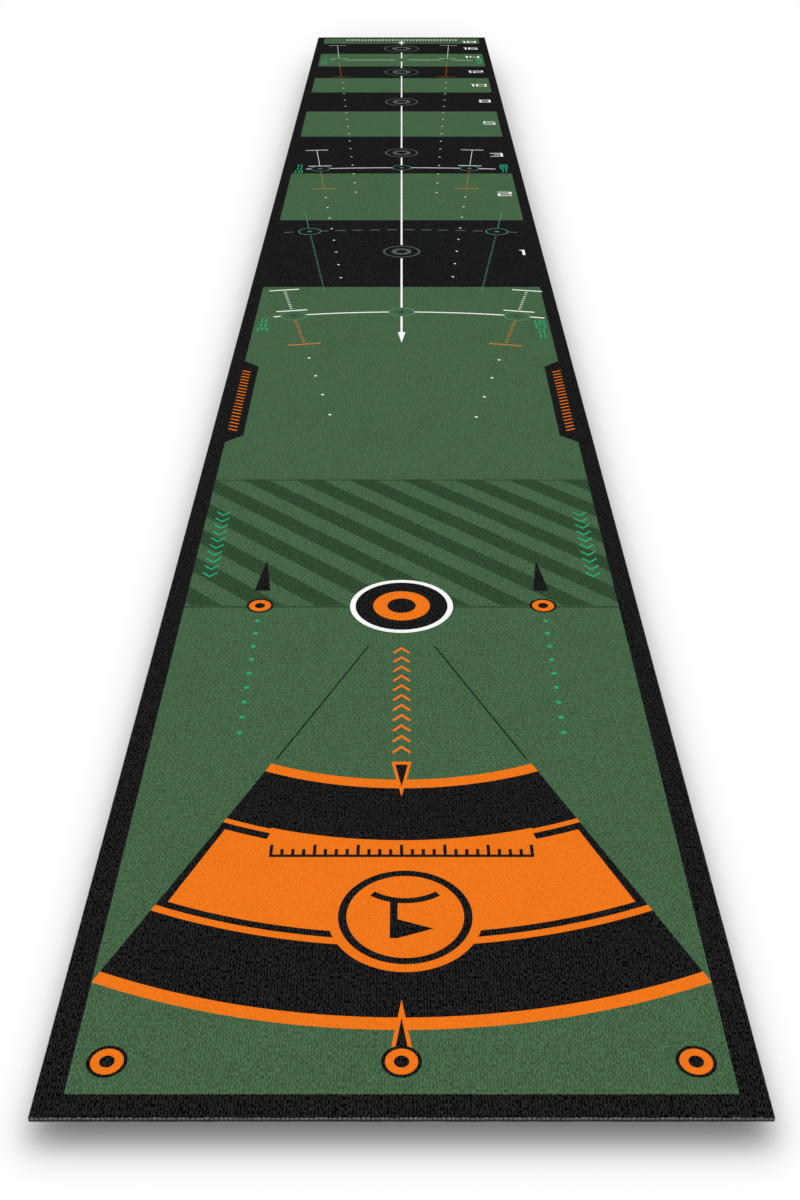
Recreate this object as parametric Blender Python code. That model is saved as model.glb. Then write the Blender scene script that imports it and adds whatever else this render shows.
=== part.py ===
"""Practice putting mat: dyed cut pile tufted through a woven cloth, bonded to a rubber backing.

The near end, where the ball is holed, is at -Y. The width runs along X and the origin is at the
middle of the underside. A place called "along" is measured from the near edge.
"""

import math

import bmesh
import bpy

# Overall sizes, in metres.
MAT_LENGTH = 4.0
MAT_WIDTH = 0.5
RUBBER_THICKNESS = 0.002
CLOTH_THICKNESS = 0.0004
PILE_HEIGHT = 0.0015
BOND_LINE = 0.00005
TUFT_GAP = 0.0003

# The black frame dyed round the putting surface, and the label panel on each long side.
BORDER = 0.020
TAB_DEPTH = 0.022
TAB_LENGTH = 0.285
TAB_SLOPE = 0.0217

# The hole-sized target, turned outwards from its centre.
TARGET_RADIUS = 0.0545
TARGET_RIM = 0.0058
TARGET_RING_OUTER = 0.0300
TARGET_RING_INNER = 0.0150

# The fan in front of the target: distances out from the target's centre.
FAN_START = 0.300
FAN_INNER_ARC = 0.012
FAN_INNER_BAND = 0.070
FAN_PANEL = 0.125
FAN_OUTER_BAND = 0.072
FAN_OUTER_ARC = 0.0118
FAN_TO_NEAR_EDGE = 0.0772

# The round badge set into the fan.
BADGE_FROM_TARGET = 0.473
BADGE_SHIFT = 0.0029
BADGE_RADIUS = 0.0608
BADGE_LINE_OUTER = 0.0527
BADGE_LINE_INNER = 0.0461

# The small ring targets, and the pointer beyond each of the two beside the main target.
SPOT_RADIUS = 0.01435
SPOT_RING_OUTER = 0.0116
SPOT_RING_INNER = 0.0054
NEAR_SPOT_ALONG = 0.0485
NEAR_SPOT_TO_BORDER = 0.0245
SIDE_SPOT_TO_BORDER = 0.080
POINTER_WIDTH = 0.017
POINTER_LENGTH = 0.068
POINTER_FROM_TARGET = 0.031

# The striped panel behind the target, and the plain turf after it.
STRIPED_LENGTH = 0.305
STRIPED_TO_TAB = 0.110
TAB_TO_SCALE = 0.333

# How deep each band of the distance scale is, against the others, from the near one on.
SCALE_BANDS = (386, 339, 323, 255, 217, 178, 158, 181, 158, 84)

ROUND_STEPS = 64
SMALL_ROUND_STEPS = 24
ARC_STEPS = 24

CLOTH_BASE = RUBBER_THICKNESS + BOND_LINE
PILE_BASE = CLOTH_BASE + CLOTH_THICKNESS + BOND_LINE
FIELD_HALF = MAT_WIDTH / 2 - BORDER
FAN_RADIUS = FAN_START + FAN_INNER_ARC + FAN_INNER_BAND + FAN_PANEL + FAN_OUTER_BAND + FAN_OUTER_ARC
TARGET_ALONG = FAN_TO_NEAR_EDGE + FAN_RADIUS
STRIPED_ALONG = TARGET_ALONG + STRIPED_LENGTH
TAB_ALONG = STRIPED_ALONG + STRIPED_TO_TAB
SCALE_ALONG = TAB_ALONG + TAB_LENGTH + TAB_TO_SCALE
SCALE_LENGTH = MAT_LENGTH - BORDER - SCALE_ALONG
FAN_HALF_ANGLE = math.asin((FIELD_HALF - TUFT_GAP) / FAN_RADIUS)


def new_collection(name):
    collection = bpy.data.collections.new(name)
    bpy.context.scene.collection.children.link(collection)
    return collection


def new_material(name, colour, roughness):
    material = bpy.data.materials.new(name)
    material.use_nodes = True
    shader = material.node_tree.nodes["Principled BSDF"]
    shader.inputs["Base Color"].default_value = (*colour, 1.0)
    shader.inputs["Roughness"].default_value = roughness
    shader.inputs["Metallic"].default_value = 0.0
    return material


def row_y(along):
    """The Y of a place that lies this far from the near edge."""
    return along - MAT_LENGTH / 2


def mesh_object(name, shape, collection):
    mesh = bpy.data.meshes.new(name)
    shape.to_mesh(mesh)
    shape.free()
    obj = bpy.data.objects.new(name, mesh)
    collection.objects.link(obj)
    return obj


def box(name, x_range, along_range, base, height, collection):
    """A flat rectangular layer with its underside at base."""
    shape = bmesh.new()
    bmesh.ops.create_cube(shape, size=1.0)
    size = (x_range[1] - x_range[0], along_range[1] - along_range[0], height)
    bmesh.ops.scale(shape, vec=size, verts=shape.verts)
    obj = mesh_object(name, shape, collection)
    obj.location = (sum(x_range) / 2, row_y(sum(along_range) / 2), base + height / 2)
    return obj


def disc(name, centre, radius, steps, base, height, collection):
    shape = bmesh.new()
    bmesh.ops.create_cone(
        shape, cap_ends=True, segments=steps, radius1=radius, radius2=radius, depth=height
    )
    obj = mesh_object(name, shape, collection)
    obj.location = (centre[0], row_y(centre[1]), base + height / 2)
    return obj


def flat_piece(name, outlines, base, height, collection):
    """A layer with the given outlines: the first is its edge and the others are holes in it."""
    curve = bpy.data.curves.new(name, "CURVE")
    curve.dimensions = "2D"
    curve.fill_mode = "BOTH"
    curve.extrude = height / 2
    for outline in outlines:
        spline = curve.splines.new("POLY")
        spline.points.add(len(outline) - 1)
        for point, (x, along) in zip(spline.points, outline):
            point.co = (x, row_y(along), 0.0, 1.0)
        spline.use_cyclic_u = True
    drawn = bpy.data.objects.new(name + "_outline", curve)
    collection.objects.link(drawn)
    drawn.location.z = base + height / 2
    return solid_from_curve(name, drawn, collection)


def solid_from_curve(name, drawn, collection):
    """Replaces a filled curve with a welded mesh, which takes Boolean modifiers."""
    bpy.context.view_layer.update()
    graph = bpy.context.evaluated_depsgraph_get()
    mesh = bpy.data.meshes.new_from_object(drawn.evaluated_get(graph))
    shape = bmesh.new()
    shape.from_mesh(mesh)
    bmesh.ops.remove_doubles(shape, verts=shape.verts, dist=0.000001)
    bmesh.ops.recalc_face_normals(shape, faces=shape.faces)
    shape.to_mesh(mesh)
    shape.free()
    obj = bpy.data.objects.new(name, mesh)
    obj.matrix_world = drawn.matrix_world.copy()
    collection.objects.link(obj)
    bpy.data.objects.remove(drawn, do_unlink=True)
    return obj


def circle(centre, radius, steps):
    turns = [2 * math.pi * step / steps for step in range(steps)]
    return [(centre[0] + radius * math.cos(a), centre[1] + radius * math.sin(a)) for a in turns]


def fan_point(radius, angle):
    """A point this far from the target's centre, at an angle from the line to the near edge."""
    return (radius * math.sin(angle), TARGET_ALONG - radius * math.cos(angle))


def fan_sector(inner, outer, half_angle):
    """The outline between two radii of the fan, with its round sides in equal steps."""
    angles = [half_angle * (2 * step / ARC_STEPS - 1) for step in range(ARC_STEPS + 1)]
    return [fan_point(outer, a) for a in angles] + [fan_point(inner, a) for a in reversed(angles)]


def cut(piece, *cutters):
    for cutter in cutters:
        modifier = piece.modifiers.new("cut_" + cutter.name, "BOOLEAN")
        modifier.operation = "DIFFERENCE"
        modifier.solver = "EXACT"
        modifier.object = cutter


class Pile:
    """Makes pieces of the pile layer, and the cutters that clear their places in it."""

    def __init__(self, parts, cutters):
        self.parts = parts
        self.cutters = cutters

    def dye(self, obj, material):
        obj.data.materials.append(material)
        return obj

    def strip(self, name, x_range, along_range, material):
        obj = box(name, x_range, along_range, PILE_BASE, PILE_HEIGHT, self.parts)
        return self.dye(obj, material)

    def across(self, name, along_range, material):
        """A strip from border to border, with the tuft gap round it."""
        x_range = (-FIELD_HALF + TUFT_GAP, FIELD_HALF - TUFT_GAP)
        along_range = (along_range[0] + TUFT_GAP / 2, along_range[1] - TUFT_GAP / 2)
        return self.strip(name, x_range, along_range, material)

    def shaped(self, name, outlines, material):
        obj = flat_piece(name, outlines, PILE_BASE, PILE_HEIGHT, self.parts)
        return self.dye(obj, material)

    def dot(self, name, centre, radius, steps, material):
        obj = disc(name, centre, radius, steps, PILE_BASE, PILE_HEIGHT, self.parts)
        return self.dye(obj, material)

    def ring(self, name, centre, outer, inner, steps, material):
        edges = [circle(centre, outer, steps), circle(centre, inner + TUFT_GAP, steps)]
        return self.shaped(name, edges, material)

    def hide(self, cutter):
        cutter.hide_render = True
        cutter.display_type = "WIRE"
        return cutter

    def round_cutter(self, name, centre, radius, steps):
        """A cutter that stands clear of the pile above and below, so no faces are coplanar."""
        base = PILE_BASE - PILE_HEIGHT / 2
        cutter = disc(name, centre, radius + TUFT_GAP, steps, base, PILE_HEIGHT * 2, self.cutters)
        return self.hide(cutter)

    def shaped_cutter(self, name, outline):
        base = PILE_BASE - PILE_HEIGHT / 2
        return self.hide(flat_piece(name, [outline], base, PILE_HEIGHT * 2, self.cutters))


def make_backing(parts, rubber, cloth):
    across = (-MAT_WIDTH / 2, MAT_WIDTH / 2)
    whole = (0.0, MAT_LENGTH)
    layers = (
        ("rubber_backing", 0.0, RUBBER_THICKNESS, rubber),
        ("tufting_cloth", CLOTH_BASE, CLOTH_THICKNESS, cloth),
    )
    for name, base, height, material in layers:
        layer = box(name, across, whole, base, height, parts)
        layer.data.materials.append(material)


def tab_outline(side, clearance):
    """The label panel that steps in from one long border, grown by a clearance."""
    inner = FIELD_HALF
    near = TAB_ALONG - clearance
    far = TAB_ALONG + TAB_LENGTH + clearance
    return [
        (side * inner, near),
        (side * (inner - TAB_DEPTH - clearance), near + TAB_SLOPE),
        (side * (inner - TAB_DEPTH - clearance), far - TAB_SLOPE),
        (side * inner, far),
    ]


def make_border(pile, black):
    half = MAT_WIDTH / 2
    pile.strip("pile_border_near", (-half, half), (0.0, BORDER), black)
    pile.strip("pile_border_far", (-half, half), (MAT_LENGTH - BORDER, MAT_LENGTH), black)
    for side, name in ((-1, "left"), (1, "right")):
        outline = [(side * half, BORDER + TUFT_GAP), (side * FIELD_HALF, BORDER + TUFT_GAP)]
        outline += tab_outline(side, 0.0)
        end = MAT_LENGTH - BORDER - TUFT_GAP
        outline += [(side * FIELD_HALF, end), (side * half, end)]
        pile.shaped("pile_border_" + name, [outline], black)


def make_target(pile, black, orange, white):
    centre = (0.0, TARGET_ALONG)
    rim_inner = TARGET_RADIUS - TARGET_RIM
    rings = (
        ("pile_target_rim", TARGET_RADIUS, rim_inner, white),
        ("pile_target_disc", rim_inner, TARGET_RING_OUTER, black),
        ("pile_target_ring", TARGET_RING_OUTER, TARGET_RING_INNER, orange),
    )
    for name, outer, inner, material in rings:
        pile.ring(name, centre, outer, inner, ROUND_STEPS, material)
    pile.dot("pile_target_centre", centre, TARGET_RING_INNER, ROUND_STEPS, black)
    return pile.round_cutter("cut_target", centre, TARGET_RADIUS, ROUND_STEPS)


def make_spot(pile, name, centre, black, orange):
    """One small ring target. It returns the cutter that clears its place."""
    steps = SMALL_ROUND_STEPS
    pile.ring(name + "_edge", centre, SPOT_RADIUS, SPOT_RING_OUTER, steps, black)
    pile.ring(name + "_ring", centre, SPOT_RING_OUTER, SPOT_RING_INNER, steps, orange)
    pile.dot(name + "_centre", centre, SPOT_RING_INNER, steps, black)
    return pile.round_cutter("cut_" + name, centre, SPOT_RADIUS, steps)


def make_pointer(pile, name, x, black):
    """The slim triangle beyond a side spot. It returns the cutter that clears its place."""
    base = TARGET_ALONG + POINTER_FROM_TARGET
    tip = base + POINTER_LENGTH
    half = POINTER_WIDTH / 2
    pile.shaped(name, [[(x - half, base), (x + half, base), (x, tip)]], black)
    grown = half + TUFT_GAP * 1.5
    room = [(x - grown, base - TUFT_GAP), (x + grown, base - TUFT_GAP), (x, tip + TUFT_GAP * 4)]
    return pile.shaped_cutter("cut_" + name, room)


def make_fan(pile, black, orange):
    """The fan's rings, the badge in it, and the cutter that clears the fan's place."""
    rings = (
        ("pile_fan_inner_arc", FAN_INNER_ARC, orange),
        ("pile_fan_inner_band", FAN_INNER_BAND, black),
        ("pile_fan_panel", FAN_PANEL, orange),
        ("pile_fan_outer_band", FAN_OUTER_BAND, black),
        ("pile_fan_outer_arc", FAN_OUTER_ARC, orange),
    )
    pieces = {}
    inner = FAN_START
    for name, depth, material in rings:
        outline = fan_sector(inner + TUFT_GAP / 2, inner + depth - TUFT_GAP / 2, FAN_HALF_ANGLE)
        pieces[name] = pile.shaped(name, [outline], material)
        inner += depth
    centre = (BADGE_SHIFT, TARGET_ALONG - BADGE_FROM_TARGET)
    steps = ROUND_STEPS
    pile.ring("pile_badge_rim", centre, BADGE_RADIUS, BADGE_LINE_OUTER, steps, orange)
    pile.ring("pile_badge_line", centre, BADGE_LINE_OUTER, BADGE_LINE_INNER, steps, black)
    pile.dot("pile_badge_face", centre, BADGE_LINE_INNER, steps, orange)
    badge_cutter = pile.round_cutter("cut_badge", centre, BADGE_RADIUS, steps)
    cut(pieces["pile_fan_panel"], badge_cutter)
    cut(pieces["pile_fan_outer_band"], badge_cutter)
    room = fan_sector(
        FAN_START - TUFT_GAP / 2,
        FAN_RADIUS + TUFT_GAP / 2,
        FAN_HALF_ANGLE + TUFT_GAP / FAN_START,
    )
    return pile.shaped_cutter("cut_fan", room)


def make_turf(pile, green, fan, target, near_spots, side_spots, pointers):
    """The green pile round the printed shapes, from the near border to the distance scale."""
    corner = TARGET_ALONG - FAN_RADIUS * math.cos(FAN_HALF_ANGLE)
    edge = pile.round_cutter("cut_fan_edge", (0.0, TARGET_ALONG), FAN_RADIUS, ROUND_STEPS * 2)
    front = pile.across("pile_turf_front", (BORDER + TUFT_GAP, corner), green)
    cut(front, edge, *near_spots)
    near = pile.across("pile_turf_near", (corner + BORDER / 4, TARGET_ALONG), green)
    cut(near, fan, target, *side_spots)
    striped = pile.across("pile_turf_striped", (TARGET_ALONG, STRIPED_ALONG), green)
    cut(striped, target, *side_spots, *pointers)
    middle = pile.across("pile_turf_middle", (STRIPED_ALONG, SCALE_ALONG), green)
    tabs = []
    for side, name in ((-1, "left"), (1, "right")):
        outline = tab_outline(side, TUFT_GAP)
        reach = side * MAT_WIDTH / 2
        outline = [(reach, outline[0][1])] + outline + [(reach, outline[-1][1])]
        tabs.append(pile.shaped_cutter("cut_tab_" + name, outline))
    cut(middle, *tabs)


def make_scale(pile, black, green):
    """The bands of the distance scale share the length from the turf to the far border."""
    start = SCALE_ALONG
    for index, share in enumerate(SCALE_BANDS):
        end = start + SCALE_LENGTH * share / sum(SCALE_BANDS)
        last = index == len(SCALE_BANDS) - 1
        stop = end - TUFT_GAP / 2 if last else end
        dye = green if index in (1, 3, 5, 7, 9) else black
        pile.across("pile_scale_band_%02d" % (index + 1), (start, stop), dye)
        start = end


def main():
    for obj in list(bpy.data.objects):
        bpy.data.objects.remove(obj, do_unlink=True)
    parts = new_collection("practice_putting_mat")
    cutters = new_collection("cutters")

    rubber = new_material("rubber", (0.012, 0.012, 0.012), 0.75)
    cloth = new_material("tufting_cloth", (0.42, 0.42, 0.41), 0.9)
    black = new_material("pile_black", (0.010, 0.010, 0.010), 0.95)
    green = new_material("pile_green", (0.054, 0.138, 0.061), 0.95)
    orange = new_material("pile_orange", (0.913, 0.202, 0.010), 0.95)
    white = new_material("pile_white", (0.90, 0.90, 0.90), 0.95)

    make_backing(parts, rubber, cloth)
    pile = Pile(parts, cutters)
    make_border(pile, black)
    target = make_target(pile, black, orange, white)
    fan = make_fan(pile, black, orange)

    near_x = FIELD_HALF - NEAR_SPOT_TO_BORDER
    near_places = (("left", -near_x), ("middle", 0.0), ("right", near_x))
    near_spots = []
    for name, x in near_places:
        centre = (x, NEAR_SPOT_ALONG)
        near_spots.append(make_spot(pile, "pile_near_spot_" + name, centre, black, orange))

    side_x = FIELD_HALF - SIDE_SPOT_TO_BORDER
    side_spots = []
    pointers = []
    for name, x in (("left", -side_x), ("right", side_x)):
        centre = (x, TARGET_ALONG)
        side_spots.append(make_spot(pile, "pile_side_spot_" + name, centre, black, orange))
        pointers.append(make_pointer(pile, "pile_pointer_" + name, x, black))

    make_turf(pile, green, fan, target, near_spots, side_spots, pointers)
    make_scale(pile, black, green)


main()
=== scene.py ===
"""Practice putting mat: dyed cut pile on a woven cloth and foam rubber, flat on a pale floor.

The drawing dyed into the pile is cut into its surface: every dye has its own closed meshes, and
neighbours share their edge. A place called "along" is measured from the mat's near edge.
"""

import math

import bpy
import numpy as np
from mathutils.geometry import delaunay_2d_cdt
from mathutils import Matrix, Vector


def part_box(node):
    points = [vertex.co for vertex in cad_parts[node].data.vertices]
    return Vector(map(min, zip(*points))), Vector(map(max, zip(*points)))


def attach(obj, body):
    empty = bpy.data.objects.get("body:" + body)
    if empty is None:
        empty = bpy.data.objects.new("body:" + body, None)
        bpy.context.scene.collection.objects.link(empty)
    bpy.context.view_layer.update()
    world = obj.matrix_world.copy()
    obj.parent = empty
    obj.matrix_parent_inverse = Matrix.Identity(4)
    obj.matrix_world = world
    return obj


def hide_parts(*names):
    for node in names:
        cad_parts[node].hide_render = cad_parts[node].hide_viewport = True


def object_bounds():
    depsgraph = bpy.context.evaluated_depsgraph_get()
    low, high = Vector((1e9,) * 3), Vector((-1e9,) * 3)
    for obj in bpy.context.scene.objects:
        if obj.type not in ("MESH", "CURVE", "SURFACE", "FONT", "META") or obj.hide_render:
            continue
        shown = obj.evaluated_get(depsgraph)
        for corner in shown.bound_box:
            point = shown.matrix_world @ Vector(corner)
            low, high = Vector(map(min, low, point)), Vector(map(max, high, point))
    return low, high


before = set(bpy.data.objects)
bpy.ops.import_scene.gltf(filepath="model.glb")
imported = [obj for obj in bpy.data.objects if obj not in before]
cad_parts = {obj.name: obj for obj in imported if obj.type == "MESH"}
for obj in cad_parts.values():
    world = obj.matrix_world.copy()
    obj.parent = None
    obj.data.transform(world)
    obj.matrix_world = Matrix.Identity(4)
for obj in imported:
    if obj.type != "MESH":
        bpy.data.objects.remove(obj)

CAD_BOX = [[float(value) for value in corner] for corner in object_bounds()]
MM = 0.001


def node_box(name):
    """(low, high) corners of a CAD node, with Y measured along from the mat's near edge."""
    low, high = (np.array(corner, dtype=float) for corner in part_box(name))
    low[1] -= NEAR_Y
    high[1] -= NEAR_Y
    return low, high


def node_disc(name):
    """(centre, radius) of a round CAD node, seen from above."""
    low, high = node_box(name)
    centre = tuple(float(value) for value in ((low + high) / 2)[:2])
    return centre, float(high[0] - low[0]) / 2


# The mat's own sizes, read from the frame.
NEAR_Y = CAD_BOX[0][1]
LENGTH = CAD_BOX[1][1] - NEAR_Y
HALF_WIDTH = CAD_BOX[1][0]
PILE_TOP = CAD_BOX[1][2]
PILE_LOW = float(node_box("pile_border_near")[0][2])
RUBBER_TOP = float(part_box("rubber_backing")[1][2])
CLOTH_LOW = float(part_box("tufting_cloth")[0][2])
CLOTH_TOP = float(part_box("tufting_cloth")[1][2])
BORDER = float(node_box("pile_border_near")[1][1])
FIELD_HALF = HALF_WIDTH - BORDER
TARGET_LOW, TARGET_HIGH = node_box("pile_target_rim")
TARGET_ALONG = float(TARGET_LOW[1] + TARGET_HIGH[1]) / 2
STRIPED_END = float(node_box("pile_turf_striped")[1][1])
BANDS = [
    tuple(float(corner[1]) for corner in node_box("pile_scale_band_%02d" % (index + 1)))
    for index in range(10)
]

# Tufts stand 1/8 inch apart in the cut edge. The surface's points are their tips, which dip by up to
# TIP_DEPTH, and lie off their grid by up to TIP_JITTER of its pitch.
TUFT_PITCH = 3.175 * MM
TIP_PITCH = np.array((2.7 * MM, 4.0 * MM))
TIP_JITTER = 0.3
TIP_DEPTH = 0.22 * MM
# The tips along the mat's rim lie this much lower.
RIM_DROP = 0.1 * MM
# No tip stands within a cell of this size of an outline, or in one next to it.
TIP_CELL = 1.2 * MM
OUTLINE_PITCH = 8 * MM
EDGE_ROUNDING = 0.5 * MM
# Smaller differences are rounding.
ROUNDING = 1e-6
OUTER_X = HALF_WIDTH - EDGE_ROUNDING
OUTER_NEAR = EDGE_ROUNDING
OUTER_FAR = LENGTH - EDGE_ROUNDING
RANDOM = np.random.default_rng(20)

# Each dye: its linear RGB, how dark and how light its grain goes, how far its slow clouds of shade
# do, and the record's material slot that it belongs to.
DYES = {
    "green": ((0.046, 0.098, 0.047), 0.66, 1.34, 0.03, "pile_green"),
    "dark_green": ((0.024, 0.052, 0.025), 0.6, 1.4, 0.03, "pile_green"),
    "grey_green": ((0.070, 0.090, 0.072), 0.75, 1.25, 0.03, "pile_green"),
    "muted_green": ((0.075, 0.125, 0.105), 0.75, 1.25, 0.03, "pile_green"),
    "black": ((0.0066, 0.0066, 0.0066), 0.0, 2.7, 0.05, "pile_black"),
    "orange": ((0.665, 0.141, 0.0085), 0.92, 1.08, 0.02, "pile_orange"),
    "dull_orange": ((0.46, 0.155, 0.030), 0.85, 1.15, 0.02, "pile_orange"),
    "white": ((0.74, 0.74, 0.73), 0.93, 1.07, 0.01, "pile_white"),
    "teal": ((0.018, 0.285, 0.136), 0.75, 1.25, 0.03, "pile_green"),
    "dull_teal": ((0.075, 0.220, 0.140), 0.75, 1.25, 0.03, "pile_green"),
}
CLOTH_COLOUR = (0.10, 0.10, 0.10)
ROOT_COLOUR = (0.155, 0.155, 0.155)
RUBBER_COLOUR = (0.026, 0.026, 0.026)

# Noise cells per metre across, along and up: fibres, tufts, long streaks and slow clouds of shade.
FIBRE_SCALE = (3200.0, 900.0, 1800.0)
TUFT_SCALE = (1000.0, 330.0, 500.0)
STREAK_SCALE = (500.0, 60.0, 200.0)
CLOUD_SCALE = (22.0, 14.0, 22.0)
# The tufts show as rows that run along the mat and wander a little, by an angle of the row's wave.
ROW_PITCH = 2.35 * MM
ROW_WANDER_SCALE = (30.0, 25.0, 1.0)
ROW_WANDER = 8.0
# How much each gives to the grain's height, and how far down and up it is darkest and lightest.
ROW_HEIGHT = 0.06
TUFT_HEIGHT = 0.30
STREAK_HEIGHT = 0.06
FIBRE_HEIGHT = 0.3
GRAIN_DEPTH = 0.13
# Single fibres' darkest and lightest shade.
FIBRE_SHADES = (0.6, 1.4)
# Cells per metre again: the cloth's threads, the tuft feet's strands and stains, and the rubber.
THREAD_SCALE = 500.0
THREAD_NOISE_SCALE = (300.0, 60.0, 300.0)
STRAND_SCALE = (2600.0, 2600.0, 260.0)
STAIN_SCALE = (90.0, 90.0, 400.0)
FOAM_SCALE = (900.0, 900.0, 900.0)
SCUFF_SCALE = (30.0, 30.0, 200.0)


# ---- outlines on the mat's plane


def arc_points(centre, radius, start, stop, steps):
    """Points round a circle. Angles count from +along (away from the near edge) towards +X."""
    turns = np.linspace(start, stop, steps + 1)
    return [(centre[0] + radius * math.sin(a), centre[1] + radius * math.cos(a)) for a in turns]


def circle(centre, radius, steps):
    return arc_points(centre, radius, 0.0, 2 * math.pi, steps)[:-1]


def bar(start, end, width):
    """A straight stroke with square ends."""
    along = np.subtract(end, start)
    side = np.array((-along[1], along[0])) / np.hypot(*along) * width / 2
    corners = (start + side, start - side, end - side, end + side)
    return [tuple(float(value) for value in corner) for corner in corners]


def rectangle(x_range, along_range):
    (left, right), (near, far) = x_range, along_range
    return [(left, near), (right, near), (right, far), (left, far)]


def arc_band(centre, inner, outer, start, stop, steps):
    """A curved stroke between two radii."""
    out = arc_points(centre, outer, start, stop, steps)
    return out + arc_points(centre, inner, stop, start, steps)


# Strokes of a squared-off figure: each runs between two corners of a grid 1 wide and 2 high.
STROKES = {
    "a": ((0, 2), (1, 2)), "b": ((1, 2), (1, 1)), "c": ((1, 1), (1, 0)), "d": ((0, 0), (1, 0)),
    "e": ((0, 0), (0, 1)), "f": ((0, 1), (0, 2)), "g": ((0, 1), (1, 1)), "h": ((0.4, 1), (1, 1)),
    "m": ((0.5, 2), (0.5, 0)), "n": ((0.5, 2), (0.12, 2)),
    "p": ((0, 0.5), (1, 0.5)), "q": ((0, 1.5), (1, 1.5)),
}
# A "=" is a plain pair of dashes that fills the place of a letter.
FIGURES = {
    "0": "abcdef", "1": "mn", "2": "abged", "3": "abhcd", "4": "fgbc", "5": "afgcd", "6": "afgedc",
    "8": "abcdefg", "9": "gfabcd", "=": "pq",
}
# The 1 is this wide against the other figures, which only its flag uses.
ONE_WIDTH = 0.4


def figure_strokes(text, centre, size, strokes, spacing, turned):
    """Bars that make up a number, centred on a place.

    size is each figure's (width, height), and strokes are the widths of its (level, upright) bars.
    turned is 0 where the number reads across the mat, 1 where along it, and -1 where back.
    """
    (width, height), (level, upright) = size, strokes
    advance = [spacing + (upright if char == "1" else width) for char in text]
    cursor = -(sum(advance) - spacing) / 2
    bars = []
    for char, step in zip(text, advance):
        span = width * ONE_WIDTH if char == "1" else step - spacing - upright
        first = cursor + upright / 2 - (span / 2 if char == "1" else 0)
        for key in FIGURES[char]:
            ends = [
                np.array((first + column * span, (row / 2 - 0.5) * (height - level)))
                for column, row in STROKES[key]
            ]
            run = (ends[1] - ends[0]) / np.hypot(*(ends[1] - ends[0]))
            is_level = abs(run[1]) < 0.5
            reach = run * (upright if is_level else level) / 2
            corners = bar(ends[0] - reach, ends[1] + reach, level if is_level else upright)
            if turned:
                corners = [(-turned * up, turned * across) for across, up in corners]
            bars.append([(centre[0] + across, centre[1] + up) for across, up in corners])
        cursor += step
    return bars


# ---- the drawing


class Drawing:
    """The shapes dyed into the pile, in the order they are laid over each other."""

    def __init__(self):
        self.shapes = []

    def add(self, piece, *outlines):
        """One shape. Where it has more than one outline, the later ones are holes in it."""
        self.shapes.append((piece, [np.array(outline, dtype=float) for outline in outlines]))

    def disc(self, piece, centre, radius, steps=48):
        self.add(piece, circle(centre, radius, steps))

    def ring(self, piece, centre, outer, inner, steps=48):
        self.add(piece, circle(centre, outer, steps), circle(centre, inner, steps))

    def bar(self, piece, start, end, width):
        self.add(piece, bar(np.array(start), np.array(end), width))

    def dots(self, piece, start, step, count, radius):
        for index in range(count):
            place = (start[0] + step[0] * index, start[1] + step[1] * index)
            self.disc(piece, place, radius, 12)


TARGET = (0.0, TARGET_ALONG)


def polar(radius, angle):
    """A place this far beyond the target, at an angle from the centre line."""
    return (radius * math.sin(angle), TARGET_ALONG + radius * math.cos(angle))


def draw_ground(drawing):
    """The black frame, the turf between its strips, and the bands of the distance scale."""
    whole, field = (-OUTER_X, OUTER_X), (-FIELD_HALF, FIELD_HALF)
    between = (BORDER, LENGTH - BORDER)
    areas = [
        ("border_near", whole, (OUTER_NEAR, BORDER)),
        ("border_far", whole, (LENGTH - BORDER, OUTER_FAR)),
        ("border_left", (-OUTER_X, -FIELD_HALF), between),
        ("border_right", (FIELD_HALF, OUTER_X), between),
        ("turf_near", field, (BORDER, TARGET_ALONG)),
        ("turf_striped", field, (TARGET_ALONG, STRIPED_END)),
        ("turf_middle", field, (STRIPED_END, BANDS[0][0])),
    ]
    edges = [band[0] for band in BANDS] + [LENGTH - BORDER]
    for index, stretch in enumerate(zip(edges, edges[1:])):
        areas.append(("scale_band_%02d" % (index + 1), field, stretch))
    for piece, x_range, along_range in areas:
        drawing.add(piece, rectangle(x_range, along_range))


def draw_tabs(drawing):
    """The panels that step in from the long borders, with a row of slanted ticks on each."""
    slope = 21.7 * MM
    margin = 40 * MM
    low, high = node_box("pile_border_left")
    depth = float(high[0] - low[0]) - BORDER
    near = STRIPED_END + 110 * MM
    far = near + 285 * MM
    tick_count, stroke = 20, 2.6 * MM
    tick_start, tick_end, lean = 218 * MM, 230 * MM, 3 * MM
    for side in (-1, 1):
        inner = side * FIELD_HALF
        step = side * (FIELD_HALF - depth)
        outline = [(inner, near), (step, near + slope), (step, far - slope), (inner, far)]
        drawing.add("border_left" if side < 0 else "border_right", outline)
        for index in range(tick_count):
            place = near + margin + index * (far - near - 2 * margin) / (tick_count - 1)
            start, end = (side * tick_start, place - lean), (side * tick_end, place + lean)
            drawing.bar("ticks_orange", start, end, stroke)


def draw_stripes(drawing):
    """Diagonal stripes beyond the target, and the thin lines that close them off.

    On a stripe's edge x + along is the same everywhere: that sum is its total.
    """
    pitch = 46.46 * MM
    first = 372.9 * MM
    root = math.sqrt(0.5)
    half = pitch / 4 / root
    near, far = TARGET_ALONG, STRIPED_END
    for index in range(-1, 11):
        reach = (first + pitch * index) / root
        outline = slanted_strip(reach - half, reach + half, near, far)
        if outline:
            drawing.add("turf_stripes", outline)
    for along in (near - 4 * MM, far - 4 * MM):
        drawing.add("turf_stripes", rectangle((-FIELD_HALF, FIELD_HALF), (along, along + 3 * MM)))


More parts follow.
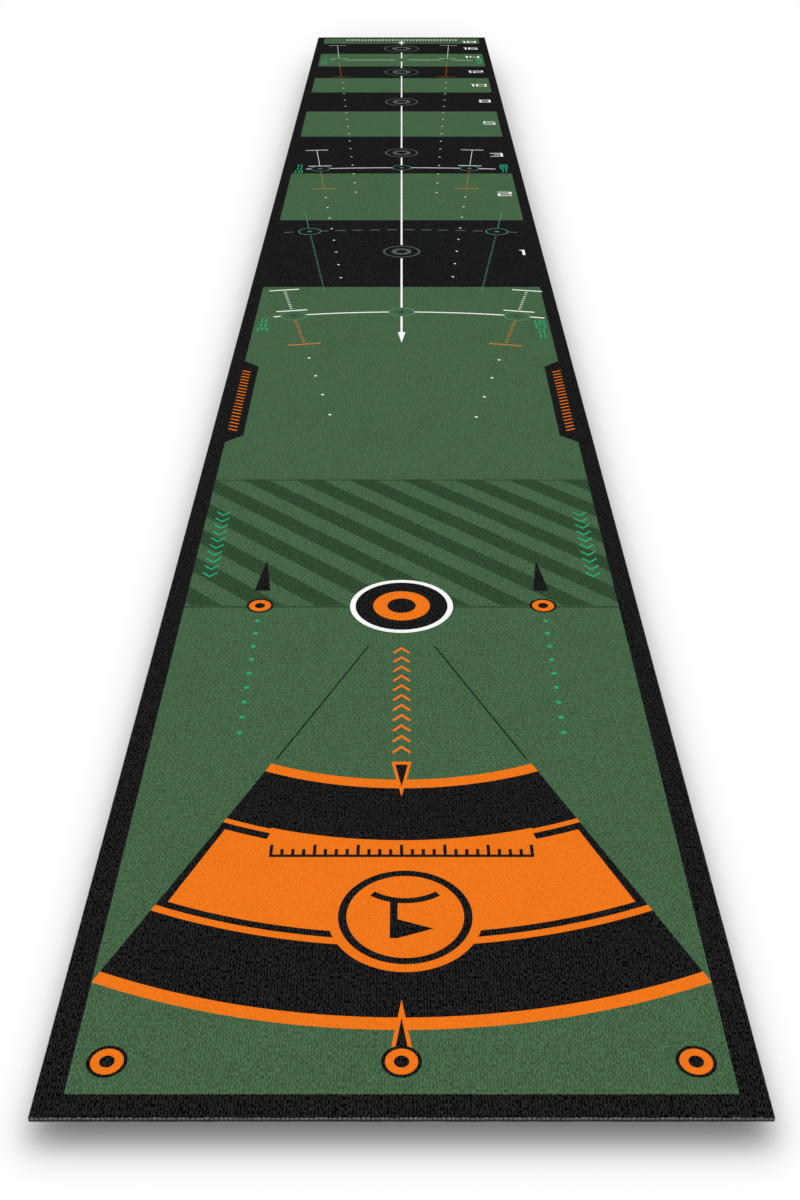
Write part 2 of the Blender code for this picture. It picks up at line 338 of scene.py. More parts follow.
def slanted_strip(low_total, high_total, near, far):
    """The part of the panel where x + along lies between the two totals, or an empty list."""
    box = rectangle((-FIELD_HALF, FIELD_HALF), (near, far))
    for sign, limit in ((1, high_total), (-1, -low_total)):
        kept = []
        for index, point in enumerate(box):
            other = box[(index + 1) % len(box)]
            here = limit - sign * (point[0] + point[1])
            there = limit - sign * (other[0] + other[1])
            if here >= 0:
                kept.append(point)
            if here * there < 0:
                share = here / (here - there)
                kept.append(tuple(p + (q - p) * share for p, q in zip(point, other)))
        box = kept
    return box


def draw_fan(drawing):
    """The fan that opens from the target towards the near edge, with its badge."""
    outer = TARGET_ALONG - float(node_box("pile_fan_outer_arc")[0][1])
    half = math.asin(FIELD_HALF / outer)
    steps = 60

    def sector(piece, inner, outer_radius, from_angle=-half, to_angle=half):
        start, stop = math.pi + from_angle, math.pi + to_angle
        drawing.add(piece, arc_band(TARGET, inner, outer_radius, start, stop, steps))

    # Radii count out from the target, and angles from the centre line.
    sector("fan_bands", 300 * MM, outer)
    sector("fan_arcs", 300 * MM, 312.2 * MM)
    sector("fan_arcs", outer - 11.8 * MM, outer)
    sector("fan_panel", 382.3 * MM, 507 * MM)
    sector("fan_lines", 493.2 * MM, 500 * MM)
    # The panel's side lines, and the stubs that they end in, with a step in the panel's edge.
    line = 6.6 * MM
    line_angle = line / (440 * MM)
    stub_angle = math.asin(111.7 / 393)
    step_angle = 0.004
    for side in (-1, 1):
        edge = side * half
        sector("fan_lines", 389.5 * MM, 500 * MM, *sorted((edge, edge - side * line_angle)))
        sector("fan_lines", 389.2 * MM, 397 * MM, *sorted((edge, side * stub_angle)))
        past_stub = side * (stub_angle + step_angle)
        sector("fan_bands", 381 * MM, 383.6 * MM, *sorted((edge, past_stub)))

    badge, rim = node_disc("pile_badge_rim")
    drawing.disc("fan_panel", badge, rim, 96)
    ring = node_disc("pile_badge_line")[1]
    drawing.ring("fan_lines", badge, ring, ring - line, 96)
    draw_flag(drawing, badge)
    draw_ruler(drawing)
    draw_needle(drawing)


def draw_flag(drawing, centre):
    """A plain flag on a mound, upright as it is seen from the far end."""
    x, along = centre
    pole = x - 9 * MM
    foot, head = along + 17 * MM, along - 25 * MM
    drawing.bar("fan_lines", (pole, foot), (pole, head), 6 * MM)
    hoist = pole + 2.9 * MM
    drawing.add("fan_lines", [
        (hoist, head), (hoist, head + 21 * MM), (pole + 31 * MM, head + 10.5 * MM)
    ])
    middle = (x, along + 62 * MM)
    drawing.add("fan_lines", arc_band(middle, 42 * MM, 48 * MM, math.pi - 0.62, math.pi + 0.62, 24))


def draw_ruler(drawing):
    """A plain row of ticks across the fan's panel, every fourth one longer."""
    count = 25
    base = TARGET_ALONG - 402 * MM
    for index in range(count):
        x = (index - (count - 1) / 2) * 9 * MM
        height = 14 * MM if index % 4 == 0 else 8.5 * MM
        drawing.bar("fan_lines", (x, base), (x, base + height), 2.8 * MM)
    drawing.bar("fan_lines", (-109.4 * MM, base), (109.4 * MM, base), 3.2 * MM)


def draw_needle(drawing):
    """The two slim pointers that mark the fan's centre line."""
    triangles = (
        # half its width, where its base and its tip are along
        ("marks_orange", 9.3 * MM, 49 * MM, 106.7 * MM),
        ("marks_black", 6.3 * MM, 49 * MM, 89 * MM),
        ("marks_orange", 9.1 * MM, 394.3 * MM, 344 * MM),
        ("marks_black", 5.6 * MM, 390 * MM, 358 * MM),
    )
    for piece, half, base, tip in triangles:
        drawing.add(piece, [(-half, base), (half, base), (0.0, tip)])


def draw_targets(drawing):
    """The hole-sized target, the five small ones and the two pointers beyond it."""
    radii = (
        ("target_rim", "pile_target_rim"), ("target_black", "pile_target_disc"),
        ("target_ring", "pile_target_ring"), ("target_black", "pile_target_centre"),
    )
    for piece, node in radii:
        drawing.disc(piece, TARGET, node_disc(node)[1], 128)
    spot_parts = (("spots_black", "_edge"), ("spots_orange", "_ring"), ("spots_black", "_centre"))
    for name in sorted(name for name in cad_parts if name.endswith("_edge")):
        centre = node_disc(name)[0]
        for piece, part in spot_parts:
            drawing.disc(piece, centre, node_disc(name.replace("_edge", part))[1])
    for side in ("left", "right"):
        low, high = node_box("pile_pointer_" + side)
        middle = float(low[0] + high[0]) / 2
        corners = [(low[0], low[1]), (high[0], low[1]), (middle, high[1])]
        drawing.add("pointers", [(float(x), float(y)) for x, y in corners])


def draw_near_lines(drawing):
    """The thin lines from the target to the fan, the near dots and the rows of arrow heads."""
    half_angle = math.radians(22.7)
    for side in (-1, 1):
        start = polar(-86.5 * MM, -side * half_angle)
        end = polar(-293 * MM, -side * half_angle)
        drawing.bar("marks_black", start, end, 1.5 * MM)
        drawing.dots("marks_teal", (side * 150 * MM, 439 * MM), (0.0, 24.8 * MM), 9, 2.7 * MM)
        chevrons(drawing, "marks_teal", side * 210.5 * MM, 730 * MM, 16.2 * MM, 10, 2.5 * MM, -1)
    chevrons(drawing, "marks_orange", 0.0, 408 * MM, 16.7 * MM, 11, 2.8 * MM, 1)


def chevrons(drawing, piece, x, near, pitch, count, stroke, heading):
    """A row of open arrow heads, 16 mm wide, that point away from the near edge or to it."""
    half, rise = 8 * MM, 9 * MM
    overshoot = 0.4
    for index in range(count):
        base = near + index * pitch + (0 if heading > 0 else rise)
        tip = np.array((x, base + heading * rise))
        for side in (-1, 1):
            foot = np.array((x + side * half, base))
            over = (tip - foot) / np.hypot(*(tip - foot)) * stroke * overshoot
            drawing.bar(piece, foot, tip + over, stroke)


def draw_centre_line(drawing):
    """The white line up the middle, with its arrow head, and the plain row of ticks at the end."""
    drawing.bar("marks_white", (0.0, 1486 * MM), (0.0, 3908 * MM), 3.2 * MM)
    drawing.add("marks_white", [(-5.9 * MM, 1489 * MM), (5.9 * MM, 1489 * MM), (0.0, 1443 * MM)])
    drawing.add("marks_white", [(-9 * MM, 3903 * MM), (9 * MM, 3903 * MM), (0.0, 3938 * MM)])
    for index in range(-18, 19):
        x = index * 9 * MM
        drawing.bar("marks_white", (x, 3947 * MM), (x, 3963 * MM), 3.4 * MM)


STATION_RADIUS = 21 * MM


def station(drawing, place, ground, dark):
    """A ring on a guide arc: the piece called ground shows inside it, round a small centre.

    dark says that the centre is dark and has a hole.
    """
    drawing.disc(ground, place, STATION_RADIUS, 48)
    drawing.ring("beams_teal", place, STATION_RADIUS, STATION_RADIUS - 1.9 * MM, 48)
    if dark:
        drawing.disc("turf_stripes", place, 5.4 * MM, 24)
        drawing.disc(ground, place, 2 * MM, 12)
    else:
        drawing.disc("marks_grey_green", place, 4.8 * MM, 24)


def ladder(drawing, piece, angle, start, end, pitch, rung):
    """Short rungs in a row along a beam. rung is each one's (size across, size along) the beam."""
    count = round(abs(end - start) / pitch)
    across = np.array((math.cos(angle), -math.sin(angle))) * rung[0] / 2
    for index in range(1, count):
        place = np.array(polar(start + (end - start) * index / count, angle))
        drawing.bar(piece, place - across, place + across, rung[1])


def gauge(drawing, angle, radius, reaches, dotted, widths):
    """The beam through a station: two white bars beyond it, an orange one short of it, and stems.

    reaches count from the guide arc. widths are those of the bars, the white and the orange stem.
    """
    half = 24.7 * MM
    low, inner, outer = (radius + reach for reach in reaches)
    bar_width, white_stem, orange_stem = widths
    for piece, place in (("beams_orange", low), ("marks_white", inner), ("marks_white", outer)):
        centre = np.array(polar(place, angle))
        across = np.array((math.cos(angle), -math.sin(angle)))
        drawing.bar(piece, centre - across * half, centre + across * half, bar_width)
    if dotted:
        ladder(drawing, "marks_white", angle, inner, outer, 10.6 * MM, (4.2 * MM, 2.6 * MM))
        end = radius - 14 * MM
        ladder(drawing, "beams_orange", angle, low, end, 10.2 * MM, (5.0 * MM, 2.8 * MM))
    else:
        drawing.bar("beams_orange", polar(low, angle), polar(radius, angle), orange_stem)
        drawing.bar("marks_white", polar(inner, angle), polar(outer, angle), white_stem)


def draw_guides(drawing):
    """The three guide arcs and their stations, beams and distances."""
    arcs = (
        # In mm and degrees: radius, left and right stations, ends of the arc, bars, and its ground.
        (911.5, -10.8, 11.55, -12.8, 14.3, (-128.5, 22.5, 124.5), "turf_middle"),
        (1805.5, -5.45, 4.55, -6.4, 6.3, (-158, 22.7, 158.5), "scale_band_03"),
        (2982.0, -3.36, 2.46, -3.8, 3.8, (-230, 20, 221), "scale_band_08"),
    )
    # In mm, the left and the right distance: figures, middle along, each figure's width, spacing.
    labels = (
        (("3==", 1520, 14.5, 5.5), ("90==", 1502, 15, 5.5)),
        (("6==", 2466, 17, 7), ("180==", 2468, 11.5, 3)),
        (("10==", 3638, 22, 9), ("300==", 3631, 12.5, 3.5)),
    )
    # In mm, each arc's bars, white stems, orange stems and its own line.
    stroke_widths = ((3.8, 0, 0, 4.0), (2.8, 0.9, 0.8, 3.4), (1.8, 0.9, 0.7, 2.6))
    height, stroke = 16.5 * MM, 2.6 * MM
    for arc, sides, widths in zip(arcs, labels, stroke_widths):
        radius, left, right, first, last, reaches, ground = arc
        radius *= MM
        start, stop = math.radians(first), math.radians(last)
        half = widths[3] * MM / 2
        band = arc_band(TARGET, radius - half, radius + half, start, stop, 40)
        drawing.add("marks_white", band)
        spread = [reach * MM for reach in reaches]
        sizes = [width * MM for width in widths[:3]]
        for angle in (left, right):
            gauge(drawing, math.radians(angle), radius, spread, ground == "turf_middle", sizes)
        for angle in (left, 0.0, right):
            station(drawing, polar(radius, math.radians(angle)), ground, ground != "scale_band_03")
        for (text, along, width, spacing), x, turned in zip(sides, (-215.5, 216.5), (1, -1)):
            place, size = (x * MM, along * MM), (width * MM, height)
            bars = figure_strokes(text, place, size, (stroke, stroke), spacing * MM, turned)
            for outline in bars:
                drawing.add("marks_teal", outline)


def draw_dashes(drawing):
    """The dashed arc across the first black band, and the two slanted guide lines through it."""
    radius = 1358 * MM
    pitch, dash, thick = 31.8 * MM, 18.5 * MM, 3.6 * MM
    off_centre = 0.44
    for index in range(-7, 7):
        middle = (index + off_centre) * pitch / radius
        half = dash / 2 / radius
        band = arc_band(
            TARGET, radius - thick / 2, radius + thick / 2, middle - half, middle + half, 4
        )
        drawing.add("marks_grey_green", band)
    for degrees in (-7.18, 7.45):
        angle = math.radians(degrees)
        drawing.bar("beams_teal", polar(1380 * MM, angle), polar(1488 * MM, angle), 1.2 * MM)
        ladder(drawing, "beams_teal", angle, 1008 * MM, 1338 * MM, 11.2 * MM, (2.8 * MM, 3.6 * MM))
        station(drawing, polar(radius, angle), "scale_band_01", False)


def draw_dot_rows(drawing):
    """White dots that show the ball's start lines, two rows on each side of the centre line."""
    rows = (
        # In mm, the first dot and the step to the next, as (x, along), and how many there are.
        ((-97, 1172), (-13.2, 69.6), 4), ((101, 1164.3), (14.2, 69.5), 4),
        ((-102.5, 1749.5), (-6.85, 70.57), 8), ((87, 1754.5), (5.57, 70.57), 8),
        ((-91.7, 2283), (-4.19, 70.8), 16), ((70, 2280.6), (3.13, 70.9), 16),
    )
    for start, step, count in rows:
        place = (start[0] * MM, start[1] * MM)
        drawing.dots("marks_white", place, (step[0] * MM, step[1] * MM), count, 2.2 * MM)


def draw_speed_rings(drawing):
    """Double rings on the centre line, one in each black band, which grow with the distance."""
    rings = (
        # Its black band, and in mm its place along and the diameters of its outer and inner ring.
        (1, 1894, 66, 35.5), (3, 2601, 72, 39), (5, 3112, 82, 44),
        (7, 3481, 92, 49), (9, 3818, 102, 54),
    )
    for band, along, outer, inner in rings:
        ground = "scale_band_%02d" % band
        place = (0.0, along * MM)
        outer_radius, inner_radius = outer / 2 * MM, inner / 2 * MM
        # The centre line stops short of the outer ring.
        drawing.disc(ground, place, outer_radius * 1.18, 64)
        drawing.ring("marks_green", place, outer_radius, outer_radius - 3.2 * MM, 64)
        drawing.ring("marks_green", place, inner_radius, inner_radius * 0.56, 48)


def draw_numbers(drawing):
    """The distance scale's numbers down the right side."""
    numbers = (
        ("1", 216.5, 1889), ("2", 206, 2270), ("3", 206.7, 2583), ("5", 206.7, 2883),
        ("8", 208, 3120), ("10", 203, 3309), ("12", 202, 3485), ("14", 201, 3691),
        ("16", 202, 3820), ("18", 202, 3923),
    )
    height, spacing = 29.5 * MM, 5 * MM
    strokes = (3.3 * MM, 4.8 * MM)
    for text, x, along in numbers:
        size = ((28 if len(text) == 1 else 27) * MM, height)
        for outline in figure_strokes(text, (x * MM, along * MM), size, strokes, spacing, 0):
            drawing.add("numbers_white", outline)


def whole_drawing():
    """Every shape, in the order that they lie over each other."""
    drawing = Drawing()
    for draw in (
        draw_ground, draw_stripes, draw_tabs, draw_fan, draw_near_lines, draw_targets,
        draw_centre_line, draw_dot_rows, draw_speed_rings, draw_dashes, draw_guides, draw_numbers,
    ):
        draw(drawing)
    return drawing


# ---- cutting the surface along it


def on_cut_side(start, end):
    """Whether both places lie on the same cut side of the mat."""
    (x0, along0), (x1, along1) = start, end
    sides = abs(x0 - x1) < ROUNDING and abs(abs(x0) - OUTER_X) < ROUNDING
    at_end = min(abs(along0 - OUTER_NEAR), abs(along0 - OUTER_FAR)) < ROUNDING
    return sides or abs(along0 - along1) < ROUNDING and at_end


def resampled(outline):
    """The outline with its long sides broken up. The mat's cut edge gets two points a tuft."""
    points = []
    for index, start in enumerate(outline):
        end = outline[(index + 1) % len(outline)]
        length = float(np.hypot(*(end - start)))
        pitch = TUFT_PITCH / 2 if on_cut_side(start, end) else OUTLINE_PITCH
        count = max(1, math.ceil(length / pitch - ROUNDING))
        for step in range(count):
            points.append(start + (end - start) * step / count)
    return np.array(points)


def triangulate(points, edges, epsilon):
    """Constrained triangles over the points: (points, constraint edges, triangles)."""
    given = [tuple(point) for point in points]
    out = delaunay_2d_cdt(given, edges, [], 0, epsilon)
    kept = [edge for edge, origin in zip(out[1], out[4]) if origin]
    return np.array([tuple(point) for point in out[0]], dtype=float), kept, np.array(out[2])


def inside(points, outlines):
    """Which points lie inside the shape, by the even-odd rule."""
    found = np.zeros(len(points), dtype=bool)
    x, y = points.T
    for outline in outlines:
        for (x0, y0), (x1, y1) in zip(outline, np.roll(outline, -1, axis=0)):
            if y0 == y1:
                continue
            crosses = (y0 > y) != (y1 > y)
            found ^= crosses & (x < (x1 - x0) * (y - y0) / (y1 - y0) + x0)
    return found


def pieces_of(points, triangles, drawing, names):
    """The piece that each triangle belongs to, as an index into names."""
    centres = points[triangles].mean(axis=1)
    order = np.argsort(centres[:, 1])
    ordered = centres[order]
    owner = np.full(len(triangles), -1)
    for piece, outlines in drawing.shapes:
        low = np.min([outline.min(axis=0) for outline in outlines], axis=0)
        high = np.max([outline.max(axis=0) for outline in outlines], axis=0)
        first, last = np.searchsorted(ordered[:, 1], (low[1], high[1]))
        rows = order[first:last]
        rows = rows[(centres[rows, 0] > low[0]) & (centres[rows, 0] < high[0])]
        owner[rows[inside(centres[rows], outlines)]] = names.index(piece)
    return owner


def tuft_points(outline_points, edges):
    """Places for the tuft tips: a jittered grid that keeps clear of every outline."""

    def cells(places):
        """(row, column) of each place in a grid of small cells with a spare one round it."""
        column = ((places[:, 0] + HALF_WIDTH) / TIP_CELL).astype(int) + 1
        return (places[:, 1] / TIP_CELL).astype(int) + 1, column

    columns = int(2 * HALF_WIDTH / TIP_CELL) + 3
    rows = int(LENGTH / TIP_CELL) + 3
    taken = np.zeros((rows, columns), dtype=bool)
    starts = outline_points[[edge[0] for edge in edges]]
    ends = outline_points[[edge[1] for edge in edges]]
    for share in np.linspace(0, 1, 12):
        taken[cells(starts + (ends - starts) * share)] = True
    near = taken.copy()
    near[1:] |= taken[:-1]
    near[:-1] |= taken[1:]
    near[:, 1:] |= near[:, :-1].copy()
    near[:, :-1] |= near[:, 1:].copy()
    across = np.arange(-OUTER_X + TIP_PITCH[0], OUTER_X, TIP_PITCH[0])
    along = np.arange(OUTER_NEAR + TIP_PITCH[1], OUTER_FAR, TIP_PITCH[1])
    grid = np.array(np.meshgrid(across, along), dtype=float)
    grid[0, 1::2] += TIP_PITCH[0] / 2
    places = grid.reshape(2, -1).T
    places += RANDOM.uniform(-TIP_JITTER, TIP_JITTER, places.shape) * TIP_PITCH
    places = places[np.abs(places[:, 0]) < OUTER_X - MM]
    return places[~near[cells(places)]]


class Surface:
    """The triangulated drawing: a fine layer for the tuft tips and a coarse one below it."""

    def __init__(self, drawing):
        points, edges = [], []
        for piece, outlines in drawing.shapes:
            for outline in outlines:
                loop = resampled(outline)
                first, count = len(points), len(loop)
                points.extend(loop)
                edges.extend((first + i, first + (i + 1) % count) for i in range(count))
        self.names = list(dict.fromkeys(piece for piece, outlines in drawing.shapes))
        coarse_points, kept, self.coarse = triangulate(points, edges, 1e-5)
        tips = tuft_points(coarse_points, kept)
        self.outline_count = len(coarse_points)
        together = np.concatenate([coarse_points, tips])
        self.points, edges, self.fine = triangulate(together, kept, 1e-7)
        self.coarse_owner = pieces_of(coarse_points, self.coarse, drawing, self.names)
        self.fine_owner = pieces_of(self.points, self.fine, drawing, self.names)
        self.place_rings()

    def place_rings(self):
        """Heights of the tips, and the rings of points that round the pile over its cut edge."""
        count = len(self.points)
        x, along = self.points.T
        depth = RANDOM.uniform(0.0, TIP_DEPTH, count)
        depth[: self.outline_count] = TIP_DEPTH * RANDOM.uniform(0.3, 0.7, self.outline_count)
        outward = np.zeros((count, 2))
        outward[:, 0] = (np.abs(np.abs(x) - OUTER_X) < ROUNDING) * np.sign(x)
        outward[np.abs(along - OUTER_NEAR) < ROUNDING, 1] = -1
        outward[np.abs(along - OUTER_FAR) < ROUNDING, 1] = 1
        self.outer = np.abs(outward).sum(axis=1) > 0
        travel = np.where(outward[:, 0] != 0, along, x) / TUFT_PITCH
        scallop = 0.5 + 0.5 * np.cos(2 * math.pi * travel) + RANDOM.uniform(-0.3, 0.3, count)
        depth[self.outer] += RIM_DROP
        self.rings = []
        profile = (
            # In mm: how far out, how much further at a scallop's crest, and how far down.
            (0.0, 0.0, 0.0), (0.28, 0.05, 0.3), (0.40, 0.12, 0.55),
            (0.2, 0.05, 0.85), (0.1, 0.0, 1.5),
        )
        for out, wave, down in profile:
            reach = (out + wave * scallop) * MM
            plane = self.points + outward * reach[:, None]
            level = PILE_TOP - depth if down == 0 else np.full(count, PILE_TOP - down * MM)
            self.rings.append(np.column_stack([plane[:, 0], plane[:, 1] + NEAR_Y, level]))
        flat = np.column_stack([x, along + NEAR_Y, np.full(count, PILE_LOW)])
        self.rings[-1] = np.where(self.outer[:, None], self.rings[-1], flat)
        self.rings[-1][:, 2] = PILE_LOW
        self.place_normals(outward)

    def place_normals(self, outward):
        """A normal for each point of each ring, shared by colours that meet, so lit alike."""
        corners = self.rings[0][self.fine]
        facing = np.cross(corners[:, 1] - corners[:, 0], corners[:, 2] - corners[:, 0])
        normals = np.zeros(self.rings[0].shape)
        for corner in range(3):
            np.add.at(normals, self.fine[:, corner], facing)
        normals /= np.linalg.norm(normals, axis=1)[:, None]
        self.normals = []
        # From the tips over the rounded edge and down: how much it leans out, and how much up.
        for out, up in ((0.45, 1.0), (0.8, 0.8), (1.0, 0.0), (1.0, -0.3), (1.0, -0.1)):
            bent = normals * up
            bent[:, :2] += outward * out
            self.normals.append(np.where(self.outer[:, None], bent, normals))

    def mesh(self, piece):
        """(vertices, faces, smooth flags, normals) of one colour's closed slab of pile."""
        index = self.names.index(piece)
        top = self.fine[self.fine_owner == index]
        bottom = self.coarse[self.coarse_owner == index]
        vertices, faces, smooth, normals = [], [], [], []
        place = {}

        def at(ring, point):
            key = (ring, int(point))
            if key not in place:
                place[key] = len(vertices)
                vertices.append(tuple(self.rings[ring][point]))
                normals.append(self.normals[ring][point])
            return place[key]

        last = len(self.rings) - 1
        for a, b, c in top:
            faces.append((at(0, a), at(0, b), at(0, c)))
        smooth += [True] * len(top)
        for a, b, c in bottom:
            faces.append((at(last, c), at(last, b), at(last, a)))
        smooth += [False] * len(bottom)
        sides = set()
        for a, b, c in top:
            sides |= {(int(a), int(b)), (int(b), int(c)), (int(c), int(a))}
        for a, b in sorted(side for side in sides if side[::-1] not in sides):
            on_cut = on_cut_side(self.points[a], self.points[b])
            levels = range(last) if on_cut else (0,)
            for level in levels:
                below = level + 1 if on_cut else last
                faces.append((at(level, a), at(below, a), at(below, b), at(level, b)))
                smooth.append(on_cut)
        return vertices, faces, smooth, np.array(normals)


# ---- materials


class Shading:
    """How a surface looks: a Principled material, and the node wiring that each one needs."""

    def __init__(self, name, roughness, specular):
        self.material = bpy.data.materials.new(name)
        self.material.use_nodes = True
        self.tree = self.material.node_tree
        self.shader = self.tree.nodes["Principled BSDF"]
        self.shader.inputs["Roughness"].default_value = roughness
        self.shader.inputs["Specular IOR Level"].default_value = specular
        self.place = self.node("ShaderNodeTexCoord").outputs["Object"]

    def node(self, kind, inputs=None, **settings):
        """Makes a node with these settings, and links or sets its inputs."""
        made = self.tree.nodes.new(kind)
        for key, value in settings.items():
            setattr(made, key, value)
        for key, value in (inputs or {}).items():
            self.put(made.inputs[key], value)
        return made

    def put(self, socket, value):
        """Links another socket to this one, or sets its number or colour."""
        if isinstance(value, bpy.types.NodeSocket):
            self.tree.links.new(value, socket)
        else:
            socket.default_value = value

    def math(self, operation, first, second=0.0):
        return self.node("ShaderNodeMath", {0: first, 1: second}, operation=operation).outputs[0]

    def product(self, first, *others):
        for other in others:
            first = self.math("MULTIPLY", first, other)
        return first

    def axes(self):
        return self.node("ShaderNodeSeparateXYZ", {0: self.place}).outputs

    def scaled(self, scale):
        return self.node("ShaderNodeMapping", {"Vector": self.place, "Scale": scale}).outputs[0]

    def noise(self, scale, detail=2.0, roughness=0.5):
        inputs = {"Vector": self.scaled(scale), "Scale": 1.0, "Detail": detail, "Roughness": roughness}
        return self.node("ShaderNodeTexNoise", inputs).outputs["Fac"]

    def spread(self, value, low, high, from_low=0.3, from_high=0.7):
        """Maps from_low to from_high onto low to high."""
        span = {"From Min": from_low, "From Max": from_high, "To Min": low, "To Max": high}
        return self.node("ShaderNodeMapRange", {"Value": value, **span}).outputs[0]

    def tint(self, colour, factor):
        shade = self.node("ShaderNodeVectorMath", {0: colour, "Scale": factor}, operation="SCALE")
        self.put(self.shader.inputs["Base Color"], shade.outputs[0])

    def bump(self, height, strength, distance):
        inputs = {"Height": height, "Strength": strength, "Distance": distance}
        self.put(self.shader.inputs["Normal"], self.node("ShaderNodeBump", inputs).outputs[0])


def pile_material(name, colour, darkest, lightest, mottle):
    """Dyed cut pile: tufts in faint rows, dark between them, fibres, and slow clouds of shade."""
    look = Shading(name, roughness=1.0, specular=0.0)
    phase = look.product(look.axes()[0], 2 * math.pi / ROW_PITCH)
    wander = look.product(look.noise(ROW_WANDER_SCALE), ROW_WANDER)
    rows = look.math("SINE", look.math("ADD", phase, wander))
    height = look.product(rows, ROW_HEIGHT)
    for scale, most in ((TUFT_SCALE, TUFT_HEIGHT), (STREAK_SCALE, STREAK_HEIGHT)):
        part = look.spread(look.noise(scale, 1.0), -most, most, 0.2, 0.8)
        height = look.math("ADD", height, part)
    grain = look.spread(height, darkest, lightest, -GRAIN_DEPTH, GRAIN_DEPTH)
    fibres = look.noise(FIBRE_SCALE, 2.0, 0.6)
    fine = look.spread(fibres, *FIBRE_SHADES, 0.25, 0.75)
    slow = look.spread(look.noise(CLOUD_SCALE, 3.0, 0.6), 1.0 - mottle, 1.0 + mottle)
    look.tint(colour, look.product(grain, fine, slow))
    relief = look.math("ADD", height, look.product(fibres, FIBRE_HEIGHT))
    look.bump(relief, strength=0.6, distance=0.6 * MM)
    return look.material


def cloth_material():
    """Plain-woven undyed polyester: warp and weft threads, slightly uneven."""
    look = Shading("tufting_cloth_weave", roughness=0.9, specular=0.1)
    waves = []
    for axis in ("X", "Y"):
        inputs = {"Vector": look.place, "Scale": THREAD_SCALE, "Distortion": 0.6}
        wave = look.node("ShaderNodeTexWave", inputs, wave_type="BANDS", bands_direction=axis)
        waves.append(wave.outputs["Fac"])
    weave = look.math("MAXIMUM", *waves)
    uneven = look.spread(look.noise(THREAD_NOISE_SCALE), 0.85, 1.1)
    threads = look.spread(weave, 0.6, 1.1, 0, 1)
    look.tint(CLOTH_COLOUR, look.product(threads, uneven))
    look.bump(weave, strength=0.5, distance=0.2 * MM)
    return look.material


def root_material():
    """The undyed foot of the pile, grey with the dye that ran down into it."""
    look = Shading("tuft_root_fibres", roughness=0.9, specular=0.1)
    strands = look.noise(STRAND_SCALE, 2.0, 0.6)
    stain = look.spread(look.noise(STAIN_SCALE), 0.75, 1.2)
    look.tint(ROOT_COLOUR, look.product(look.spread(strands, 0.45, 1.5), stain))
    look.bump(strands, strength=0.9, distance=0.3 * MM)
    return look.material


def rubber_material():
    """Black foamed rubber: open cells, scuffed paler here and there."""
    look = Shading("foam_rubber", roughness=0.8, specular=0.15)
    inputs = {"Vector": look.scaled(FOAM_SCALE), "Scale": 1.0}
    from_cell = look.node("ShaderNodeTexVoronoi", inputs).outputs["Distance"]
    pores = look.spread(from_cell, 0.75, 1.15, 0.0, 0.8)
    scuffs = look.spread(look.noise(SCUFF_SCALE, 4.0, 0.65), 0.85, 1.25)
    look.tint(RUBBER_COLOUR, look.product(pores, scuffs))
    look.bump(from_cell, strength=0.4, distance=0.25 * MM)
    return look.material


# ---- pieces


def set_normals(mesh, smooth, normals):
    """Gives the smooth faces these vertex normals, and leaves every other face flat."""
    sizes = np.empty(len(mesh.polygons), dtype=np.int32)
    flat = np.empty(len(mesh.polygons) * 3, dtype=np.float32)
    corner = np.empty(len(mesh.loops), dtype=np.int32)
    mesh.polygons.foreach_get("loop_total", sizes)
    mesh.polygons.foreach_get("normal", flat)
    mesh.loops.foreach_get("vertex_index", corner)
    face = np.repeat(np.arange(len(sizes)), sizes)
    bent = np.array(smooth)[face][:, None]
    chosen = np.where(bent, normals[corner], flat.reshape(-1, 3)[face])
    mesh.normals_split_custom_set((chosen / np.linalg.norm(chosen, axis=1)[:, None]).tolist())


def spot_nodes(*endings):
    """The CAD nodes of the small ring targets with these endings, in order, less their "pile_"."""
    names = (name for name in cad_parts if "_spot_" in name and name.endswith(endings))
    return sorted(name.removeprefix("pile_") for name in names)


def make_object(name, vertices, faces, smooth, material, slot, replaced=(), normals=None):
    """One piece that rides on the mat, with its finish and the CAD nodes that it stands for."""
    mesh = bpy.data.meshes.new(name)
    mesh.from_pydata(vertices, [], faces)
    mesh.polygons.foreach_set("use_smooth", smooth)
    mesh.materials.append(material)
    mesh.update()
    if normals is not None:
        set_normals(mesh, smooth, normals)
    made = bpy.data.objects.new(name, mesh)
    bpy.context.scene.collection.objects.link(made)
    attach(made, "root")
    if replaced:
        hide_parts(*replaced)
    return made


def slab(low, high, wander, relief):
    """A closed sheet as big as the mat. Its cut edge wanders a little, and its underside is uneven."""
    half_length = LENGTH / 2
    columns = round(2 * HALF_WIDTH / OUTLINE_PITCH)
    rows = round(LENGTH / OUTLINE_PITCH)
    x, y = np.meshgrid(
        np.linspace(-HALF_WIDTH, HALF_WIDTH, columns + 1),
        np.linspace(-half_length, half_length, rows + 1),
    )
    for places, across in ((x.T, rows + 1), (y, columns + 1)):
        places[0] += RANDOM.uniform(0, wander, across)
        places[-1] -= RANDOM.uniform(0, wander, across)
    under = low + RANDOM.uniform(0, relief, x.shape)
    over = np.full(x.shape, high)
    count = x.size
    vertices = np.concatenate([
        np.column_stack([x.ravel(), y.ravel(), z.ravel()]) for z in (under, over)
    ])
    number = np.arange(count).reshape(x.shape)
    a, b = number[:-1, :-1].ravel(), number[:-1, 1:].ravel()
    d, c = number[1:, :-1].ravel(), number[1:, 1:].ravel()
    faces = np.concatenate([np.column_stack([a, d, c, b]), np.column_stack([a, b, c, d]) + count])
    ring = np.concatenate([number[0, :-1], number[:-1, -1], number[-1, :0:-1], number[:0:-1, 0]])
    after = np.roll(ring, -1)
    faces = np.concatenate([faces, np.column_stack([ring, after, after + count, ring + count])])
    return vertices.tolist(), faces.tolist()


